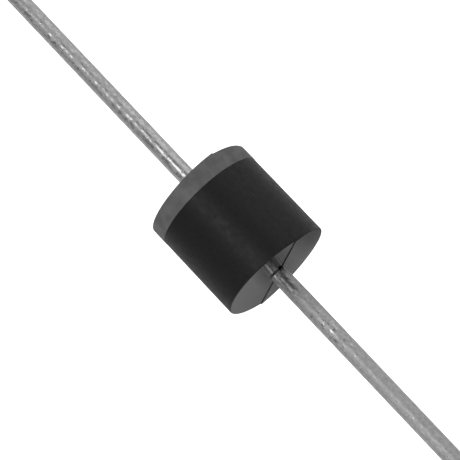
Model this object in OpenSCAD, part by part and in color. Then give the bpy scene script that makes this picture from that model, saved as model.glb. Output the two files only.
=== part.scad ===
// Axial-lead surge suppressor diode: a round moulded body with a printed cathode band,
// two straight wire leads with forged heads, and a soldered silicon die between the heads.
// The leads lie on the X axis with the cathode at -X, the origin is the middle of the body,
// and all sizes are in millimetres.

/* [Moulded body] */
// Diameter of the body
body_d = 9; // [7.5:0.1:11]
// Length of the body, measured at the mould's parting plane
body_l = 9; // [7:0.1:12]
// Draft of the end faces away from the parting plane, in degrees
end_draft = 3; // [0.5:0.25:6]
// Radius that rounds the rims of the end faces
rim_r = 0.1; // [0.05:0.05:0.6]
// How far the two mould halves are out of line along the leads, which leaves a step on the end faces
mould_step = 0.06; // [0.02:0.01:0.1]
// Width of the flash line that the parting plane leaves along the side
flash_w = 0.1; // [0.04:0.01:0.2]
// Height of the flash line above the side
flash_h = 0.02; // [0.01:0.005:0.025]
// Turn of the parting plane about the leads, from upright towards +Y, in degrees
parting_turn = 21; // [-90:1:90]
// How far the collar of compound that crept out along each lead reaches past the end of the body
collar_h = 0.03; // [0.02:0.01:0.3]
// Diameter of the small lump of flash on the anode face, beside the lead
lump_d = 0.4; // [0.2:0.05:0.6]

/* [Cathode band] */
// Width of the printed band, from the end of the body
band_w = 1.55; // [1:0.01:3]
// Thickness of the ink
band_t = 0.04; // [0.03:0.005:0.06]

/* [Leads] */
// Diameter of the wire
lead_d = 1.38; // [0.8:0.01:1.6]
// Length of each lead outside the body
lead_l = 25.4; // [10:0.1:40]
// Chamfer on the cut end of the wire
tip_chamfer = 0.1; // [0.05:0.01:0.25]
// Diameter of the forged head that holds the die
head_d = 6; // [4:0.1:6.5]
// Thickness of the head
head_t = 0.8; // [0.5:0.05:1.5]
// Chamfer on the back of the head
head_chamfer = 0.15; // [0.05:0.05:0.4]
// Diameter of the flared neck, where it meets the head
neck_d = 1.8; // [1.7:0.05:3]

/* [Die] */
// Width of the square silicon die
die_w = 4.2; // [2:0.1:4.5]
// Thickness of the die
die_t = 0.3; // [0.2:0.01:0.5]
// Width of the edge that is etched away around the mesa on the anode side
mesa_edge = 0.2; // [0.1:0.05:0.5]
// Height of the mesa
mesa_h = 0.1; // [0.05:0.01:0.15]
// Thickness of each solder joint
solder_t = 0.08; // [0.03:0.01:0.2]

/* [Hidden] */
$fn = 96;
body_r = body_d / 2;
end_z = body_l / 2;
lead_r = lead_d / 2;
mesa_w = die_w - 2 * mesa_edge;
// The rim's curve is drawn this much wider than the body, so that the side crosses it cleanly all round:
// the draft makes the side's section an ellipse, moves it at the foot of the curve, and a margin is left
rim_margin = 0.01;
rim_spread = body_r * (1 / cos(end_draft) - 1) + rim_r * tan(end_draft) + rim_margin;
// Turn that keeps the lump's poles and seam off the body
pole_turn = [90, -90, 0];
// How far cutting shapes run past the body, and the collars' roots into it
past = 1;

// Turns a shape drawn about Z, with the parting plane in XZ, onto the leads' axis:
// +Z becomes the anode end and -X becomes the upper side of the parting plane
module on_lead_axis() {
    rotate([-parting_turn, 0, 0]) rotate([0, 90, 0]) children();
}

// Repeats one half of the body for both mould halves, out of line by the mould's step
module both_mould_halves() {
    for (half = [0, 1]) translate([0, 0, (0.5 - half) * mould_step]) mirror([0, half, 0]) children();
}

// Half-section of what the mould leaves below one end face: a disc with a rounded rim, and room below it
module rim_section() {
    flat_r = body_r + rim_spread - rim_r;
    translate([0, -body_l]) square([flat_r, body_l]);
    translate([flat_r, -rim_r]) circle(rim_r);
    translate([0, -body_l]) square([body_r + past, body_l - rim_r]);
}

// Tilts a shape that reaches down from z = 0 to lie below one drafted end face
module below_end_face(inset) {
    translate([0, 0, end_z - inset]) rotate([-end_draft, 0, 0]) children();
}

// Keeps the part of a shape below both end faces, on one side of the parting plane
module between_end_faces(inset) {
    intersection() {
        translate([-body_d, 0, -body_l]) cube([2 * body_d, body_d, 2 * body_l]);
        below_end_face(inset) children();
        mirror([0, 0, 1]) below_end_face(inset) children();
    }
}

// The flash that the parting plane leaves along both sides of the body, as one thin plate through it
module flash_plate() {
    cube([2 * (body_r + flash_h), flash_w, 2 * (end_z - rim_r - mould_step)], center = true);
}

// Outside of the body, before anything is moulded into it
module body_form() {
    both_mould_halves() intersection() {
        cylinder(r = body_r, h = 2 * body_l, center = true);
        between_end_faces(0) rotate_extrude() rim_section();
    }
    flash_plate();
}

// The collar round one lead: a cone that rises at 45 degrees from inside the body to the lead, and into it
module lead_collar() {
    translate([0, 0, end_z + collar_h - past])
        cylinder(r1 = lead_r + past, r2 = lead_r / 2, h = past + lead_r / 2);
}

// The lump of flash, on the upper side of the parting plane
module flash_lump() {
    translate([-lead_r - collar_h, 0, end_z]) rotate(pole_turn) sphere(d = lump_d);
}

// One lead with its head on the die's side, pointing along +Z. Its neck tapers to just past the collar
module lead_form() {
    head_z = die_t / 2 + solder_t;
    back_z = head_z + head_t;
    tip_z = end_z + lead_l;
    rotate_extrude() polygon([
        [0, head_z],
        [head_d / 2, head_z],
        [head_d / 2, back_z - head_chamfer],
        [head_d / 2 - head_chamfer, back_z],
        [neck_d / 2, back_z],
        [lead_r, end_z + 2 * collar_h],
        [lead_r, tip_z - tip_chamfer],
        [lead_r - tip_chamfer, tip_z],
        [0, tip_z]
    ]);
}

module square_slab(w, z0, z1) {
    translate([-w / 2, -w / 2, z0]) cube([w, w, z1 - z0]);
}

module die_form() {
    square_slab(die_w, -die_t / 2, die_t / 2 - mesa_h);
    square_slab(mesa_w, -die_t / 2, die_t / 2);
}

module anode_solder_form() {
    square_slab(mesa_w, die_t / 2, die_t / 2 + solder_t);
}

module cathode_solder_form() {
    square_slab(die_w, -die_t / 2 - solder_t, -die_t / 2);
}

// Everything that the moulding compound flows round
module moulded_in() {
    lead_form();
    mirror([0, 0, 1]) lead_form();
    die_form();
    anode_solder_form();
    cathode_solder_form();
}

module moulded_body() {
    color([0.12, 0.12, 0.12]) on_lead_axis() difference() {
        union() {
            body_form();
            lead_collar();
            mirror([0, 0, 1]) lead_collar();
            flash_lump();
        }
        moulded_in();
    }
}

module cathode_band() {
    color([0.38, 0.39, 0.39]) on_lead_axis() difference() {
        intersection() {
            translate([0, 0, -end_z]) cylinder(r = body_r + band_t, h = band_w);
            both_mould_halves() between_end_faces(rim_r)
                translate([0, 0, -body_l]) cylinder(r = body_r + past, h = body_l);
        }
        cylinder(r = body_r, h = 2 * body_l, center = true);
        flash_plate();
    }
}

module cathode_lead() {
    color([0.72, 0.72, 0.71]) on_lead_axis() mirror([0, 0, 1]) lead_form();
}

module anode_lead() {
    color([0.72, 0.72, 0.71]) on_lead_axis() lead_form();
}

module cathode_solder() {
    color([0.6, 0.6, 0.62]) on_lead_axis() cathode_solder_form();
}

module anode_solder() {
    color([0.6, 0.6, 0.62]) on_lead_axis() anode_solder_form();
}

module silicon_die() {
    color([0.3, 0.32, 0.36]) on_lead_axis() die_form();
}

moulded_body();
cathode_band();
cathode_lead();
anode_lead();
cathode_solder();
anode_solder();
silicon_die();
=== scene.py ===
# %% [markdown]
# # A surge suppressor diode with wire leads
# The part is a black moulded cylinder, a printed grey band and two tinned wires. This lesson loads the
# measured model as a fixed frame, models the visible pieces over it by hand tools, gives each one a
# procedural finish, and lights it like a small product photograph. Lengths are in metres in Blender, so
# sizes that are easier to read in millimetres are multiplied by MM.

# %% Load the measured model
import math

import bmesh
import bpy
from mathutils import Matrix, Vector, noise


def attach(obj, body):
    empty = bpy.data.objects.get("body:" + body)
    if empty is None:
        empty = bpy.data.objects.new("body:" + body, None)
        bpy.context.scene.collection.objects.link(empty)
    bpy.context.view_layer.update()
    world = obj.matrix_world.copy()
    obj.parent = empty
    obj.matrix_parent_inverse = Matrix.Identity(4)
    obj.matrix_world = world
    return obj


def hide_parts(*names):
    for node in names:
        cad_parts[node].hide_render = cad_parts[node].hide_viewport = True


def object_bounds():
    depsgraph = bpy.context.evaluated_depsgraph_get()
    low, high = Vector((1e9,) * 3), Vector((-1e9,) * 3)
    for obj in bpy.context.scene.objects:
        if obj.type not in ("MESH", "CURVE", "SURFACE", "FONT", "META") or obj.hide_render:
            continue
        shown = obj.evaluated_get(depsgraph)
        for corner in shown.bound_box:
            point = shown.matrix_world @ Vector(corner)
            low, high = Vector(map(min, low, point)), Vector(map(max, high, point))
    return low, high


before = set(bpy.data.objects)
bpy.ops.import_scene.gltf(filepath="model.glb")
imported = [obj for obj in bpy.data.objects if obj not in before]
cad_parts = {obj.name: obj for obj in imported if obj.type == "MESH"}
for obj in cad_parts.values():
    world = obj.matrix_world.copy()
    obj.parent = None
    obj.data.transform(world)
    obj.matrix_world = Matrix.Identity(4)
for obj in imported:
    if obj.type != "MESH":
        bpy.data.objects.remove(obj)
cad_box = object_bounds()
MM = 0.001
print("CAD nodes:", sorted(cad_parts))

# %% [markdown]
# ## Camera
# The photograph looks steeply down on the part, so that the wires run from corner to corner and a little
# of the anode end face shows. A long lens from close by gives the slight taper that the body's edges
# have. The camera could be aimed with a constraint, but placing it from an azimuth, an elevation and a
# distance keeps every number one that can be measured on the picture.

# %% Place the camera
PICTURE_PX = 460
FOCAL_PX = 2180
BODY_CENTRE_PX = (237.2, 229.9)
AZIMUTH = math.radians(48.15)
ELEVATION = math.radians(71.0)
DISTANCE = 160 * MM
SENSOR = 36.0
CLIP = (1 * MM, 10.0)

toward_camera = Vector((math.sin(AZIMUTH) * math.cos(ELEVATION),
                        -math.cos(AZIMUTH) * math.cos(ELEVATION),
                        math.sin(ELEVATION)))
bpy.ops.object.camera_add(location=toward_camera * DISTANCE)
camera = bpy.context.object
camera.name = "camera"
camera.rotation_euler = (-toward_camera).to_track_quat("-Z", "Y").to_euler()
camera.data.sensor_width = SENSOR
camera.data.lens = FOCAL_PX / PICTURE_PX * SENSOR
camera.data.shift_x = (PICTURE_PX / 2 - BODY_CENTRE_PX[0]) / PICTURE_PX
camera.data.shift_y = (BODY_CENTRE_PX[1] - PICTURE_PX / 2) / PICTURE_PX
camera.data.clip_start, camera.data.clip_end = CLIP
bpy.context.scene.camera = camera
print("camera at", [round(v / MM, 1) for v in camera.location], "mm")
print("lens", round(camera.data.lens, 1), "mm")

# %% [markdown]
# ## Three small helpers
# Operators act on whatever is selected. One helper makes a single object selected and active. Another
# picks parts of a mesh in edit mode by a test on their place, length or direction, as clicking would. The
# third adds a modifier and applies it at once.

# %% Selection and modifier helpers
SELECT_MODES = {"VERT": (True, False, False), "EDGE": (False, True, False), "FACE": (False, False, True)}


def only(obj):
    """Selects one object and makes it active."""
    bpy.ops.object.select_all(action="DESELECT")
    obj.select_set(True)
    bpy.context.view_layer.objects.active = obj


def pick(obj, kind, test):
    """In edit mode, selects the vertices, edges or faces that pass the test, and returns how many."""
    bpy.context.tool_settings.mesh_select_mode = SELECT_MODES[kind]
    bpy.ops.mesh.select_all(action="DESELECT")
    mesh = bmesh.from_edit_mesh(obj.data)
    items = {"VERT": mesh.verts, "EDGE": mesh.edges, "FACE": mesh.faces}[kind]
    chosen = [item for item in items if test(item)]
    for item in chosen:
        item.select_set(True)
    mesh.select_flush_mode()
    bmesh.update_edit_mesh(obj.data)
    return len(chosen)


def apply_modifier(obj, kind, **settings):
    """Adds one modifier with its settings and applies it."""
    modifier = obj.modifiers.new(kind.lower(), kind)
    for name, value in settings.items():
        setattr(modifier, name, value)
    only(obj)
    bpy.ops.object.modifier_apply(modifier=modifier.name)


print("helpers ready")

# %% [markdown]
# ## The moulded body
# The compound is pressed round the soldered stack in a mould of two halves. So the end faces slope away
# from the parting plane by a few degrees, and the rims are rounded. A revolved profile couldn't slope
# that way. Instead a cylinder is cut in two on the parting plane, the half ends are turned about that
# cut, and their rims are bevelled. It is modelled with the parting plane upright and turned to its place
# later.

# %% One half of the body
BODY_R = 4.5 * MM
BODY_L = 9.0 * MM
END_DRAFT = math.radians(3)
RIM_R = 0.1 * MM
BODY_SIDES = 256
RIM_STEPS = 8
NEAR = 1e-6
SHORT_EDGE = BODY_R / 4
END_X = BODY_L / 2

bpy.ops.object.select_all(action="DESELECT")
bpy.ops.mesh.primitive_cylinder_add(vertices=BODY_SIDES, radius=BODY_R, depth=BODY_L,
                                    end_fill_type="NGON", rotation=(0, math.pi / 2, 0))
body = bpy.context.object
body.name = "body_moulding"
bpy.ops.object.transform_apply(location=False, rotation=True, scale=False)
bpy.ops.object.mode_set(mode="EDIT")
bpy.ops.mesh.select_all(action="SELECT")
bpy.ops.mesh.bisect(plane_co=(0, 0, 0), plane_no=(0, 1, 0), use_fill=True, clear_inner=True, threshold=NEAR)
for end in (1, -1):
    pick(body, "VERT", lambda v: v.co.x * end > END_X - NEAR and v.co.y > NEAR)
    bpy.ops.transform.rotate(value=-end * END_DRAFT, orient_axis="Z", center_override=(end * END_X, 0, 0))
rim_edges = pick(body, "EDGE", lambda e: e.calc_length() < SHORT_EDGE)
bpy.ops.mesh.bevel(offset=RIM_R, offset_type="OFFSET", segments=RIM_STEPS, affect="EDGES",
                   clamp_overlap=False)
pick(body, "VERT", lambda v: abs(v.co.y) < NEAR)
bpy.ops.transform.resize(value=(1, 0, 1), center_override=(0, 0, 0))
bpy.ops.object.mode_set(mode="OBJECT")
half_x = [v.co.x / MM for v in body.data.vertices]
print("rim edges", rim_edges, "faces", len(body.data.polygons))
print("x from", round(min(half_x), 3), "to", round(max(half_x), 3), "mm")

# %% [markdown]
# ## Two halves out of line
# The second half is the mirror image of the first. The mould halves of a real press never meet exactly,
# and here they are a few hundredths of a millimetre out of line along the wires. That leaves the fine
# step across both end faces. A Boolean union makes the two halves one moulding.

# %% Join the halves
MOULD_STEP = 0.06 * MM


def join_to_body(piece):
    """Makes an object one with the body."""
    apply_modifier(body, "BOOLEAN", operation="UNION", solver="EXACT", object=piece)
    bpy.data.objects.remove(piece)


only(body)
bpy.ops.object.duplicate()
other_half = bpy.context.object
other_half.scale = (1, -1, 1)
bpy.ops.object.transform_apply(location=False, rotation=False, scale=True)
bpy.ops.object.mode_set(mode="EDIT")
bpy.ops.mesh.select_all(action="SELECT")
bpy.ops.mesh.normals_make_consistent(inside=False)
bpy.ops.object.mode_set(mode="OBJECT")
for half, way in ((body, 1), (other_half, -1)):
    only(half)
    half.location.x = way * MOULD_STEP / 2
    bpy.ops.object.transform_apply(location=True, rotation=False, scale=False)
join_to_body(other_half)
print("joined body", len(body.data.polygons), "faces")

# %% [markdown]
# ## Flash line
# Along each side a little compound crept between the mould halves and left a low rounded ridge. It could
# be bevelled out of the parting edges, but a thin rod sunk into the side and joined by a Boolean gives
# its round crest at once. The rod is divided along its length and moved a little in and out, because
# flash breaks off unevenly.

# %% Flash rods joined to the body
FLASH_R = 0.15 * MM
FLASH_H = 0.012 * MM
FLASH_SIDES = 24
FLASH_CUTS = 90
FLASH_WANDER = 0.003 * MM
FLASH_STEP = 0.35 * MM

for side in (1, -1):
    bpy.ops.object.select_all(action="DESELECT")
    bpy.ops.mesh.primitive_cylinder_add(vertices=FLASH_SIDES, radius=FLASH_R, rotation=(0, math.pi / 2, 0),
                                        depth=2 * (END_X - RIM_R - MOULD_STEP),
                                        location=(0, 0, side * (BODY_R + FLASH_H - FLASH_R)))
    rod = bpy.context.object
    bpy.ops.object.transform_apply(location=True, rotation=True, scale=False)
    bpy.ops.object.mode_set(mode="EDIT")
    pick(rod, "EDGE", lambda e: e.calc_length() > BODY_R)
    bpy.ops.mesh.subdivide(number_cuts=FLASH_CUTS)
    bpy.ops.object.mode_set(mode="OBJECT")
    for vert in rod.data.vertices:
        vert.co.z += FLASH_WANDER * noise.noise(Vector((vert.co.x / FLASH_STEP, side, 0)))
    join_to_body(rod)
print("body with flash", len(body.data.polygons), "faces")

# %% [markdown]
# ## Cathode band
# The band is ink that was rolled on, so it follows the body, and on one half it wraps over the rounded
# rim. A separate tube would have to be fitted to the sloping end. A copy of the body, cut off at the
# band's edge and opened at the end face, fits by itself, and Solidify gives the ink its thickness. A
# little noise keeps the printed edge from being ruler straight.

# %% Band from a copy of the body
BAND_W = 1.55 * MM
BAND_T = 0.015 * MM
EDGE_WANDER = 0.012 * MM
WANDER_STEP = 0.5 * MM
BAND_X = -END_X + BAND_W
WRAP_SHARE = 0.6
WRAP_R = BODY_R - WRAP_SHARE * RIM_R
RIM_LEAN = 0.05


def unprinted(face):
    """True where the roller left no ink: on the end face, and on one half's rim."""
    middle = face.calc_center_median()
    return math.hypot(*middle.yz) < WRAP_R or (middle.y > 0 and face.normal.x < -RIM_LEAN)


only(body)
bpy.ops.object.duplicate()
band = bpy.context.object
band.name = "band_print"
bpy.ops.object.mode_set(mode="EDIT")
bpy.ops.mesh.select_all(action="SELECT")
bpy.ops.mesh.bisect(plane_co=(BAND_X, 0, 0), plane_no=(1, 0, 0), clear_outer=True, threshold=NEAR)
pick(band, "FACE", unprinted)
bpy.ops.mesh.delete(type="FACE")
bpy.ops.object.mode_set(mode="OBJECT")
for vert in band.data.vertices:
    if vert.co.x > BAND_X - NEAR:
        vert.co.x += EDGE_WANDER * noise.noise(vert.co / WANDER_STEP)
apply_modifier(band, "SOLIDIFY", thickness=BAND_T, offset=1.0)
print("band", len(band.data.polygons), "faces")

# %% [markdown]
# ## Collars and a lump of flash
# Before it set, a little compound crept out along each wire and left a low, ragged collar. On the anode
# face the flash ends in a small lump beside the wire. Dark paint would look right from one side only, so
# both are real forms: a short cone for each collar and a ball for the lump, roughened with noise and
# joined by Boolean unions. The wire's own space is cut out of them later, with the rest of the hollow.

# %% Join the collars and the lump
LEAD_R = 0.69 * MM
COLLAR_H = 0.03 * MM
COLLAR_ROOT = 0.1 * MM
COLLAR_LIP = 0.006 * MM
COLLAR_SIDES = 96
COLLAR_WANDER = 0.012 * MM
COLLAR_STEP = 0.3 * MM
LUMP_R = 0.16 * MM
LUMP_WANDER = 0.13 * MM
LUMP_STEP = 0.14 * MM
LUMP_SUBDIVISIONS = 4

for end in (1, -1):
    bpy.ops.object.select_all(action="DESELECT")
    bpy.ops.mesh.primitive_cone_add(vertices=COLLAR_SIDES, radius1=LEAD_R + COLLAR_ROOT + COLLAR_H,
                                    radius2=LEAD_R + COLLAR_LIP, depth=COLLAR_ROOT + COLLAR_H,
                                    end_fill_type="TRIFAN", rotation=(0, end * math.pi / 2, 0),
                                    location=(end * (END_X + (COLLAR_H - COLLAR_ROOT) / 2), 0, 0))
    collar = bpy.context.object
    bpy.ops.object.transform_apply(location=True, rotation=True, scale=False)
    for vert in collar.data.vertices:
        if abs(vert.co.x) > END_X:
            vert.co.x += end * COLLAR_WANDER * noise.noise(vert.co / COLLAR_STEP)
    join_to_body(collar)

lump_centre = Vector((END_X, 0, LEAD_R + COLLAR_H))
bpy.ops.object.select_all(action="DESELECT")
bpy.ops.mesh.primitive_ico_sphere_add(subdivisions=LUMP_SUBDIVISIONS, radius=LUMP_R, location=lump_centre)
lump = bpy.context.object
bpy.ops.object.transform_apply(location=True, rotation=False, scale=False)
for vert in lump.data.vertices:
    spoke = (vert.co - lump_centre).normalized()
    vert.co += spoke * LUMP_WANDER * noise.noise(vert.co / LUMP_STEP)
join_to_body(lump)
print("body with collars and lump", len(body.data.polygons), "faces")

# %% [markdown]
# ## Hollow for the soldered stack
# Inside, the compound fits the wire heads, the solder and the die. Turning the body to its place and
# subtracting copies of those measured solids leaves the true hollow, so the body is a real moulding and
# not a solid plug with pieces pushed into it.

# %% Turn the body and cut the hollow
PARTING_TURN = math.radians(21)
WELD = NEAR / 10
MOULDED_IN = ("cathode_lead", "anode_lead", "cathode_solder", "anode_solder", "silicon_die")

for piece in (body, band):
    only(piece)
    piece.rotation_euler = (-PARTING_TURN, 0, 0)
    bpy.ops.object.transform_apply(location=False, rotation=True, scale=False)
for name in MOULDED_IN:
    only(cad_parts[name])
    bpy.ops.object.duplicate()
    inner = bpy.context.object
    inner.parent = None
    bpy.ops.object.mode_set(mode="EDIT")
    bpy.ops.mesh.select_all(action="SELECT")
    bpy.ops.mesh.remove_doubles(threshold=WELD)
    bpy.ops.object.mode_set(mode="OBJECT")
    apply_modifier(body, "BOOLEAN", operation="DIFFERENCE", solver="EXACT", object=inner)
    bpy.data.objects.remove(inner)
print("finished body", len(body.data.polygons), "faces")

# %% [markdown]
# ## Wire leads
# Each lead is one copper wire. Its inner end is upset into a flat head, the neck behind the head tapers,
# and the rest is plain tinned wire. It could be lathed with Spin. Extruding one disc from station to
# station, with a resize at each, gives the same rings in order and keeps the wire's own face loops for
# the fine dents that a Displace modifier adds to the free part.

# %% Extrude the leads
HEAD_R = 3.0 * MM
HEAD_X = 0.23 * MM
HEAD_T = 0.8 * MM
HEAD_CHAMFER = 0.15 * MM
NECK_R = 0.9 * MM
LEAD_L = 25.4 * MM
TIP_CHAMFER = 0.1 * MM
LEAD_SIDES = 64
# Two rounds of cuts, because one subdivide makes at most 100
RING_CUTS = (100, 1)
DENT_H = 0.016 * MM
DENT_SIZE = 0.7 * MM
DENT_DEPTH = 2
TIP_X = END_X + LEAD_L
BACK_X = HEAD_X + HEAD_T
STATIONS = [(BACK_X - HEAD_CHAMFER, HEAD_R), (BACK_X, HEAD_R - HEAD_CHAMFER), (BACK_X, NECK_R),
            (END_X + 2 * COLLAR_H, LEAD_R), (TIP_X - TIP_CHAMFER, LEAD_R), (TIP_X, LEAD_R - TIP_CHAMFER)]

dents = bpy.data.textures.new("wire_dents", "CLOUDS")
dents.noise_scale = DENT_SIZE
dents.noise_depth = DENT_DEPTH


def extrude_lead(name, end):
    """Makes one lead that points along end times X."""
    bpy.ops.object.select_all(action="DESELECT")
    bpy.ops.mesh.primitive_circle_add(vertices=LEAD_SIDES, radius=HEAD_R, fill_type="NGON",
                                      location=(end * HEAD_X, 0, 0), rotation=(0, math.pi / 2, 0))
    lead = bpy.context.object
    lead.name = name
    bpy.ops.object.transform_apply(location=True, rotation=True, scale=False)
    bpy.ops.object.mode_set(mode="EDIT")
    bpy.ops.mesh.select_all(action="SELECT")
    x, r = HEAD_X, HEAD_R
    for next_x, next_r in STATIONS:
        bpy.ops.mesh.extrude_region_move(TRANSFORM_OT_translate={"value": (end * (next_x - x), 0, 0)})
        grow = next_r / r
        bpy.ops.transform.resize(value=(1, grow, grow), center_override=(end * next_x, 0, 0))
        x, r = next_x, next_r
    pick(lead, "EDGE", lambda e: e.calc_length() > LEAD_L / 2)
    for cuts in RING_CUTS:
        bpy.ops.mesh.subdivide(number_cuts=cuts)
    bpy.ops.mesh.select_all(action="SELECT")
    bpy.ops.mesh.normals_make_consistent(inside=False)
    bpy.ops.object.mode_set(mode="OBJECT")
    free = lead.vertex_groups.new(name="free_wire")
    outside = [v.index for v in lead.data.vertices if END_X + DENT_SIZE < abs(v.co.x) < TIP_X - TIP_CHAMFER]
    free.add(outside, 1.0, "REPLACE")
    apply_modifier(lead, "DISPLACE", texture=dents, texture_coords="LOCAL", direction="NORMAL",
                   mid_level=0.5, strength=DENT_H, vertex_group="free_wire")
    return lead


cathode_wire = extrude_lead("wire_cathode", -1)
anode_wire = extrude_lead("wire_anode", 1)
for wire in (cathode_wire, anode_wire):
    print(wire.name, len(wire.data.polygons), "faces, x size", round(wire.dimensions.x / MM, 3), "mm")

# %% [markdown]
# ## Smooth shading
# Rims and wires should look round, and the edges of the collars, the flash and the cut tips should stay
# sharp. Smoothing by angle does both without extra geometry, and weighted normals keep the large flat
# faces flat.

# %% Shade the pieces
SHARP_ANGLE = math.radians(35)
NORMAL_WEIGHT = 100

for piece in (body, band, cathode_wire, anode_wire):
    only(piece)
    bpy.ops.object.shade_smooth_by_angle(angle=SHARP_ANGLE)
    apply_modifier(piece, "WEIGHTED_NORMAL", weight=NORMAL_WEIGHT, keep_sharp=True)
print("shaded four pieces")

# %% [markdown]
# ## Finishes
# Every finish is built from nodes that read Object coordinates, so its grain keeps its real size. All of
# them start in the same way: with a shader, noises of a given size in metres, and a spread of each noise
# over two colours or two numbers. So each of these steps is a helper.

# %% Finish helpers
NOISE_SPAN = (0.3, 0.7)


def new_finish(name):
    """A material with a Principled shader, and its nodes and links."""
    finish = bpy.data.materials.new(name)
    finish.use_nodes = True
    tree = finish.node_tree
    return finish, tree, tree.nodes["Principled BSDF"]


def grain(tree, size, stretch=(1, 1, 1), detail=4.0):
    """A noise whose lumps are about size metres, drawn out along the axes by stretch."""
    place = tree.nodes.new("ShaderNodeTexCoord")
    mapping = tree.nodes.new("ShaderNodeMapping")
    mapping.inputs["Scale"].default_value = [1 / (size * s) for s in stretch]
    lumps = tree.nodes.new("ShaderNodeTexNoise")
    lumps.inputs["Scale"].default_value = 1.0
    lumps.inputs["Detail"].default_value = detail
    tree.links.new(place.outputs["Object"], mapping.inputs["Vector"])
    tree.links.new(mapping.outputs["Vector"], lumps.inputs["Vector"])
    return lumps.outputs["Fac"]


def ramp(tree, value, colours, span=NOISE_SPAN):
    """Maps a value that runs over a span, as a noise does, to a colour between two."""
    node = tree.nodes.new("ShaderNodeValToRGB")
    first, last = node.color_ramp.elements
    first.position, last.position = span
    first.color, last.color = [(*c, 1) for c in colours]
    tree.links.new(value, node.inputs["Fac"])
    return node.outputs["Color"]


def spread(tree, value, low, high, span=NOISE_SPAN):
    """Maps a value that runs over a span, as a noise does, to a number between low and high."""
    node = tree.nodes.new("ShaderNodeMapRange")
    for socket, number in zip(("From Min", "From Max", "To Min", "To Max"), (*span, low, high)):
        node.inputs[socket].default_value = number
    tree.links.new(value, node.inputs["Value"])
    return node.outputs["Result"]


print("finish helpers ready")

# %% [markdown]
# ### Places and bumps
# Some marks lie in one place only. Two helpers measure where a point lies, along a direction or away from
# a line, and two more join such measures and noises into masks. The last one turns noises into bumps.
# Painted images could do all of this, but these stay sharp at any size.

# %% Mask helpers
def along(tree, direction):
    """How far a point lies along a direction, in metres."""
    place = tree.nodes.new("ShaderNodeTexCoord")
    dot = tree.nodes.new("ShaderNodeVectorMath")
    dot.operation = "DOT_PRODUCT"
    dot.inputs[1].default_value = direction
    tree.links.new(place.outputs["Object"], dot.inputs[0])
    return dot.outputs["Value"]


def from_line(tree, through=(0, 0, 0)):
    """How far a point lies from a line along X, in metres. The line goes through a given point."""
    place = tree.nodes.new("ShaderNodeTexCoord")
    across = tree.nodes.new("ShaderNodeVectorMath")
    across.operation = "MULTIPLY_ADD"
    across.inputs[1].default_value = (0, 1, 1)
    across.inputs[2].default_value = (0, -through[1], -through[2])
    tree.links.new(place.outputs["Object"], across.inputs[0])
    length = tree.nodes.new("ShaderNodeVectorMath")
    length.operation = "LENGTH"
    tree.links.new(across.outputs["Vector"], length.inputs[0])
    return length.outputs["Value"]


def combine(tree, operation, first, second):
    """Joins two values by one operation, such as a sum, a product or the larger of them."""
    node = tree.nodes.new("ShaderNodeMath")
    node.operation = operation
    tree.links.new(first, node.inputs[0])
    tree.links.new(second, node.inputs[1])
    return node.outputs["Value"]


def mix(tree, share, first, second):
    """Goes from the first value to the second, a value or a number, as share goes from 0 to 1."""
    node = tree.nodes.new("ShaderNodeMix")
    tree.links.new(share, node.inputs["Factor"])
    tree.links.new(first, node.inputs["A"])
    if isinstance(second, float):
        node.inputs["B"].default_value = second
    else:
        tree.links.new(second, node.inputs["B"])
    return node.outputs["Result"]


def relief(tree, shader, *layers):
    """Feeds noises into the shader's normal as bumps, each with its own height in metres."""
    total = None
    for value, height in layers:
        node = tree.nodes.new("ShaderNodeMath")
        node.operation = "MULTIPLY_ADD"
        node.inputs[1].default_value = height
        tree.links.new(value, node.inputs[0])
        if total:
            tree.links.new(total, node.inputs[2])
        else:
            node.inputs[2].default_value = 0.0
        total = node.outputs["Value"]
    node = tree.nodes.new("ShaderNodeBump")
    node.inputs["Distance"].default_value = 1.0
    tree.links.new(total, node.inputs["Height"])
    tree.links.new(node.outputs["Normal"], shader.inputs["Normal"])


print("mask helpers ready")

# %% [markdown]
# ### Moulding compound
# Black epoxy filled with fine glass. The round side comes from an eroded mould and is an uneven satin.
# The ends come from polished inserts, one of them more worn: so one half of an end mirrors the wire
# clearly, and the other half blurs it. Each area could have a material of its own, but masks by the
# distance from the wires' axis and by the side of the parting plane keep it one compound. The grain of
# the mould is very small bumps, and the filler a faint change of tone.

# %% Compound finish
SIDE_ROUGHNESS = (0.38, 0.53)
POLISHED_ROUGHNESS = (0.06, 0.11)
DULL_ROUGHNESS = (0.20, 0.28)
GLOSS = (0.5, 0.4)
BLEND = 0.02 * MM
FILLER_SIZE = 0.25 * MM
FILLER_TONES = [(0.005, 0.005, 0.005), (0.008, 0.008, 0.008)]
FILLER_SPAN = (0.35, 0.65)
END_PATCH = 0.12 * MM
SATIN_PATCH = 0.4 * MM
MOULD_GRAIN = 0.04 * MM
MOULD_GRAIN_H = 0.0008 * MM

compound, tree, shader = new_finish("black_epoxy")
filler = grain(tree, FILLER_SIZE)
tree.links.new(ramp(tree, filler, FILLER_TONES, FILLER_SPAN), shader.inputs["Base Color"])
across_parting = (0, math.cos(PARTING_TURN), -math.sin(PARTING_TURN))
second_half = spread(tree, along(tree, across_parting), 0, 1, (-BLEND, BLEND))
on_side = spread(tree, from_line(tree), 0, 1, (BODY_R - RIM_R, BODY_R - RIM_R / 2))
patches = grain(tree, END_PATCH)
polished = spread(tree, patches, *POLISHED_ROUGHNESS)
ends = mix(tree, second_half, polished, spread(tree, patches, *DULL_ROUGHNESS))
satin = spread(tree, grain(tree, SATIN_PATCH), *SIDE_ROUGHNESS)
tree.links.new(mix(tree, on_side, ends, satin), shader.inputs["Roughness"])
tree.links.new(spread(tree, on_side, *GLOSS, (0, 1)), shader.inputs["Specular IOR Level"])
relief(tree, shader, (grain(tree, MOULD_GRAIN), MOULD_GRAIN_H))
print("made", compound.name)

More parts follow.
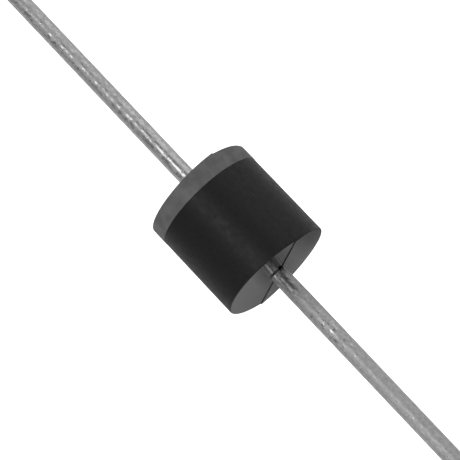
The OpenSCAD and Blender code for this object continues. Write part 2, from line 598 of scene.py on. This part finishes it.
# %% [markdown]
# ### Marking ink
# A thin, matt grey ink, a little uneven where the roller left less of it. One noise changes its tone and
# a finer one its roughness, and the gloss is set low because ink is duller than the compound below it.

# %% Ink finish
INK_TONES = [(0.160, 0.161, 0.160), (0.230, 0.231, 0.230)]
INK_ROUGHNESS = (0.4, 0.55)
INK_GLOSS = 0.12
INK_CLOUD = 0.8 * MM
INK_PATCH = 0.1 * MM
INK_GRAIN = 0.05 * MM
INK_GRAIN_H = 0.001 * MM

ink, tree, shader = new_finish("grey_ink")
tree.links.new(ramp(tree, grain(tree, INK_CLOUD, detail=6.0), INK_TONES), shader.inputs["Base Color"])
tree.links.new(spread(tree, grain(tree, INK_PATCH), *INK_ROUGHNESS), shader.inputs["Roughness"])
shader.inputs["Specular IOR Level"].default_value = INK_GLOSS
relief(tree, shader, (grain(tree, INK_GRAIN), INK_GRAIN_H))
print("made", ink.name)

# %% [markdown]
# ### Marks on the anode wire
# Next to the body the anode wire is smoother, then darker for a few millimetres, and a strip along its top
# is darker still. Both darker parts are painted shade, where the wire mirrors the black body, and the
# darker stretch also dulls the tin. This shade has no thickness, so it isn't modelled. It is a mask in the
# tin's finish: a strip round a line on top of the wire, which fades outwards and is made ragged by noise.
# The finish starts here with these masks.

# %% Masks for the tin
# Painted shade along the top of the anode wire, next to the body
TOP_SHADE_TURN = math.radians(-14)
TOP_SHADE_W = (0.14 * MM, 0.5 * MM)
TOP_SHADE_START = (END_X - 0.3 * MM, END_X + 0.8 * MM)
TOP_SHADE_END = (END_X + 1.2 * MM, END_X + 3.2 * MM)
TOP_SHADE_EDGE = (0.25, 0.9)
SHADE_PATCH_SIZE = 0.18 * MM
SHADE_PATCH_DEPTH = (0.5, 1.5)
# Painted shade next to the body, which also dulls the tin there
NEAR_BODY_SHADE_AND_DULLING = 0.3
NEAR_BODY_START = (END_X, END_X + 1.2 * MM)
NEAR_BODY_END = (END_X + 2.0 * MM, END_X + 5.5 * MM)
MOUTH_END = (END_X + 0.6 * MM, END_X + 2.0 * MM)

tin, tree, shader = new_finish("tin_plate")
out_from_middle = along(tree, (1, 0, 0))
wire_top = (0, LEAD_R * math.sin(TOP_SHADE_TURN), LEAD_R * math.cos(TOP_SHADE_TURN))
# Painted shade: a darker strip on the wire's top next to the body, where it mirrors the black body
strip = combine(tree, "MULTIPLY", spread(tree, from_line(tree, wire_top), 1, 0, TOP_SHADE_W),
                spread(tree, out_from_middle, 0, 1, TOP_SHADE_START))
faded_top_strip = combine(tree, "MULTIPLY", strip, spread(tree, out_from_middle, 1, 0, TOP_SHADE_END))
shade_patches = spread(tree, grain(tree, SHADE_PATCH_SIZE, stretch=(1.5, 1, 1), detail=1.0), *SHADE_PATCH_DEPTH)
painted_top_shade = spread(tree, combine(tree, "MULTIPLY", faded_top_strip, shade_patches), 0, 1, TOP_SHADE_EDGE)
# Painted shade next to the body, where the wire mirrors the black body, and also used to dull the tin
near_body_shade_and_dulling = combine(tree, "MULTIPLY", spread(tree, out_from_middle, 0, NEAR_BODY_SHADE_AND_DULLING, NEAR_BODY_START),
                  spread(tree, out_from_middle, 1, 0, NEAR_BODY_END))
at_mouth = combine(tree, "MULTIPLY", spread(tree, out_from_middle, 0, 1, (0, END_X)),
                   spread(tree, out_from_middle, 1, 0, MOUTH_END))
print("masks for", tin.name, "ready")

# %% [markdown]
# ### Tinned wire
# Drawing leaves the wire a little lumpy along its length, and the tin over it is mottled, dull in most
# places and burnished in a few. Most of the burnished spots lie near the body: many on the cathode wire,
# and fewer but brighter ones on the anode wire. Stretched noise gives the lumps and the mottling, and
# only the highest values of one more noise give the spots.

# %% Tin finish
TIN_TONE = (0.51, 0.71)
NEAR_BODY_SHADE_TONE = 0.25
TOP_SHADE_TONE = 0.2
MOTTLE_SIZE = 0.18 * MM
TIN_ROUGHNESS = (0.46, 0.60)
DULL_SIZE = 0.2 * MM
BURNISHED_ABOVE = (1.05, 1.17)
SPOT_SIZE = 0.32 * MM
# A value for the cathode wire and one for the anode wire
BURNISHED_ROUGHNESS = (0.25, 0.20)
WORN = (0.68, 0.58)
OUTER_DULL = 0.14
OUTER = (END_X + 5 * MM, END_X + 9 * MM)
MOUTH_ROUGHNESS = 0.3
WAVE_SIZE = 0.35 * MM
WAVE_H = 0.015 * MM
PIT_SIZE = 0.1 * MM
PIT_H = 0.004 * MM
BOTH_ENDS = (-END_X, END_X)

shader.inputs["Metallic"].default_value = 1.0
plate = spread(tree, grain(tree, MOTTLE_SIZE, stretch=(1.3, 1, 1)), *TIN_TONE)
# The painted shade darkens the tin's colour next to the body and along the wire's top
shaded_plate = mix(tree, combine(tree, "MULTIPLY", near_body_shade_and_dulling, shade_patches), plate, NEAR_BODY_SHADE_TONE)
tree.links.new(mix(tree, painted_top_shade, shaded_plate, TOP_SHADE_TONE), shader.inputs["Base Color"])
outward = combine(tree, "MAXIMUM", out_from_middle, along(tree, (-1, 0, 0)))
dulled = combine(tree, "ADD", near_body_shade_and_dulling, spread(tree, outward, 0, OUTER_DULL, OUTER))
worn = combine(tree, "SUBTRACT", spread(tree, out_from_middle, *WORN, BOTH_ENDS), dulled)
spots = grain(tree, SPOT_SIZE, stretch=(1.4, 1, 1), detail=2.0)
burnished = spread(tree, combine(tree, "ADD", spots, worn), 0, 1, BURNISHED_ABOVE)
dull = spread(tree, grain(tree, DULL_SIZE, stretch=(1.5, 1, 1)), *TIN_ROUGHNESS)
bright = spread(tree, out_from_middle, *BURNISHED_ROUGHNESS, BOTH_ENDS)
worn_down = mix(tree, burnished, dull, bright)
tree.links.new(mix(tree, at_mouth, worn_down, MOUTH_ROUGHNESS), shader.inputs["Roughness"])
waves = grain(tree, WAVE_SIZE, stretch=(2, 1, 1), detail=1.0)
relief(tree, shader, (waves, WAVE_H), (grain(tree, PIT_SIZE), PIT_H))
print("made", tin.name)

# %% [markdown]
# ### Solder and silicon
# These lie inside the body. They keep their measured solids and get finishes of their own, for anyone who
# opens the part.

# %% Inner finishes
SOLDER_TONES = [(0.36, 0.36, 0.38), (0.5, 0.5, 0.52)]
SOLDER_CLOUD = 0.4 * MM
SOLDER_ROUGHNESS = 0.5
SILICON_TONES = [(0.08, 0.09, 0.12), (0.1, 0.11, 0.14)]
SILICON_CLOUD = 0.6 * MM
SILICON_ROUGHNESS = 0.12

solder, tree, shader = new_finish("dull_solder")
shader.inputs["Metallic"].default_value = 1.0
tree.links.new(ramp(tree, grain(tree, SOLDER_CLOUD), SOLDER_TONES), shader.inputs["Base Color"])
shader.inputs["Roughness"].default_value = SOLDER_ROUGHNESS
silicon, tree, shader = new_finish("silicon_chip")
tree.links.new(ramp(tree, grain(tree, SILICON_CLOUD), SILICON_TONES), shader.inputs["Base Color"])
shader.inputs["Roughness"].default_value = SILICON_ROUGHNESS


def wear(obj, finish):
    """Gives an object one finish."""
    obj.data.materials.clear()
    obj.data.materials.append(finish)


for name, finish in (("cathode_solder", solder), ("anode_solder", solder), ("silicon_die", silicon)):
    wear(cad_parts[name], finish)
for piece, finish in ((body, compound), (band, ink), (cathode_wire, tin), (anode_wire, tin)):
    wear(piece, finish)
print("finishes given")

# %% [markdown]
# ## Join the pieces to the frame
# Nothing on the part moves, so every piece rides on the one root body and stands for its measured solid.

# %% Ride and replace
STAND_INS = ((body, "moulded_body", "mould_compound"),
             (band, "cathode_band", "marking_ink"),
             (cathode_wire, "cathode_lead", "tinned_wire"),
             (anode_wire, "anode_lead", "tinned_wire"))

for piece, node, slot in STAND_INS:
    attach(piece, "root")
    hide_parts(node)
print("pieces joined to the frame")

# %% [markdown]
# ## Floor
# The part lies on a plain pale table. The picture's background is pure white with no shadow, while the end
# face mirrors a middle grey. A photographer gets that by lighting the paper behind the part on its own.
# Here one sheet of glowing paper is seen only by the camera, and a table in dimmer light, in the same
# place, is seen only by the part. The table also glows a little, which is painted light. It is darker to
# the left, and two soft shadows lie on it along the anode wire, one below the wire and one to its right,
# because that is what the glossy end face shows. This shade and these shadows are painted into the table's
# colour and glow.

# %% Floor
FLOOR_Z = cad_box[0].z
FLOOR_SIZE = 4.0
WHITE = (1, 1, 1, 1)
PAPER_GLOW = 1.2
TABLE_ROUGHNESS = 0.8
TABLE_TONE = 0.85
# Painted light: the table's own glow
TABLE_GLOW = 0.15
LEFT_SHADE = 0.55
LEFT_EDGE = (-16 * MM, -6 * MM)
# Place across the wire, distances of full and of no shade, depth, and the length over which it starts
SHADOWS = ((1.0 * MM, (1.0 * MM, 2.0 * MM), 0.4, 1.6 * MM),
           (6.3 * MM, (1.6 * MM, 4.4 * MM), 0.65, 0.6 * MM))
SHADOW_END = (END_X + 4 * MM, END_X + 7 * MM)

paper_look, tree, shader = new_finish("white_paper")
shader.inputs["Base Color"].default_value = WHITE
shader.inputs["Emission Color"].default_value = WHITE
shader.inputs["Emission Strength"].default_value = PAPER_GLOW
table_look, tree, shader = new_finish("pale_table")
shader.inputs["Roughness"].default_value = TABLE_ROUGHNESS
shader.inputs["Emission Color"].default_value = WHITE
to_the_right = along(tree, (0, 1, 0))
out_from_middle = along(tree, (1, 0, 0))
# Painted shade to the left and painted shadows along the anode wire scale the table's colour and glow
lit = spread(tree, to_the_right, LEFT_SHADE, 1, LEFT_EDGE)
for middle, width, depth, rise in SHADOWS:
    strip = spread(tree, from_line(tree, (0, middle, FLOOR_Z)), depth, 0, width)
    past_end = spread(tree, out_from_middle, 0, 1, (END_X, END_X + rise))
    shadow = combine(tree, "MULTIPLY", strip, past_end)
    shadow = combine(tree, "MULTIPLY", shadow, spread(tree, out_from_middle, 1, 0, SHADOW_END))
    lit = mix(tree, shadow, lit, 0.0)
tree.links.new(spread(tree, lit, 0, TABLE_TONE, (0, 1)), shader.inputs["Base Color"])
tree.links.new(spread(tree, lit, 0, TABLE_GLOW, (0, 1)), shader.inputs["Emission Strength"])


def floor_sheet(name, finish, for_camera):
    """A flat sheet under the part, seen either by the camera or by everything else."""
    bpy.ops.object.select_all(action="DESELECT")
    bpy.ops.mesh.primitive_plane_add(size=FLOOR_SIZE, location=(0, 0, FLOOR_Z))
    sheet = bpy.context.object
    sheet.name = name
    bpy.ops.object.transform_apply(location=True, rotation=False, scale=False)
    wear(sheet, finish)
    sheet.visible_camera = for_camera
    sheet.visible_diffuse = not for_camera
    sheet.visible_glossy = not for_camera
    sheet.visible_transmission = not for_camera
    sheet.visible_shadow = not for_camera


floor_sheet("paper_floor", paper_look, True)
floor_sheet("table_floor", table_look, False)
print("floor at", round(FLOOR_Z / MM, 2), "mm")

# %% [markdown]
# ## Light
# A round wire mirrors each light as one bright line along it, so the lines show where the lights have to
# be. A small key light at the upper left makes the main line, a low light keeps the left flank from going
# dark, and a large soft light from the right brightens the other flank. One more light from the front
# makes the second line on the anode wire's top, and a dim sky fills the rest.

# %% Lights
SKY_STRENGTH = 0.21


def soft_light(name, direction, distance, size, power):
    """A square soft light that shines on the part from a direction, in metres and watts."""
    way = Vector(direction).normalized()
    bpy.ops.object.light_add(type="AREA", location=way * distance)
    light = bpy.context.object
    light.name = name
    light.rotation_euler = way.to_track_quat("Z", "Y").to_euler()
    light.data.size = size
    light.data.energy = power


soft_light("key_light", (-0.24, -0.46, 0.85), distance=0.40, size=0.17, power=0.17)
soft_light("low_light", (0.24, -0.90, 0.36), distance=0.40, size=0.16, power=0.16)
soft_light("right_light", (-0.50, 0.65, 0.57), distance=0.50, size=0.60, power=0.63)
soft_light("front_light", (0.55, -0.25, 0.80), distance=0.40, size=0.30, power=0.25)
world = bpy.data.worlds.new("studio")
bpy.context.scene.world = world
world.use_nodes = True
sky = world.node_tree.nodes["Background"]
sky.inputs["Color"].default_value = WHITE
sky.inputs["Strength"].default_value = SKY_STRENGTH
bpy.context.scene.view_settings.view_transform = "Standard"
print("lights set")

# %% Sizes and finish
print("CAD box", [[round(v / MM, 3) for v in corner] for corner in cad_box])
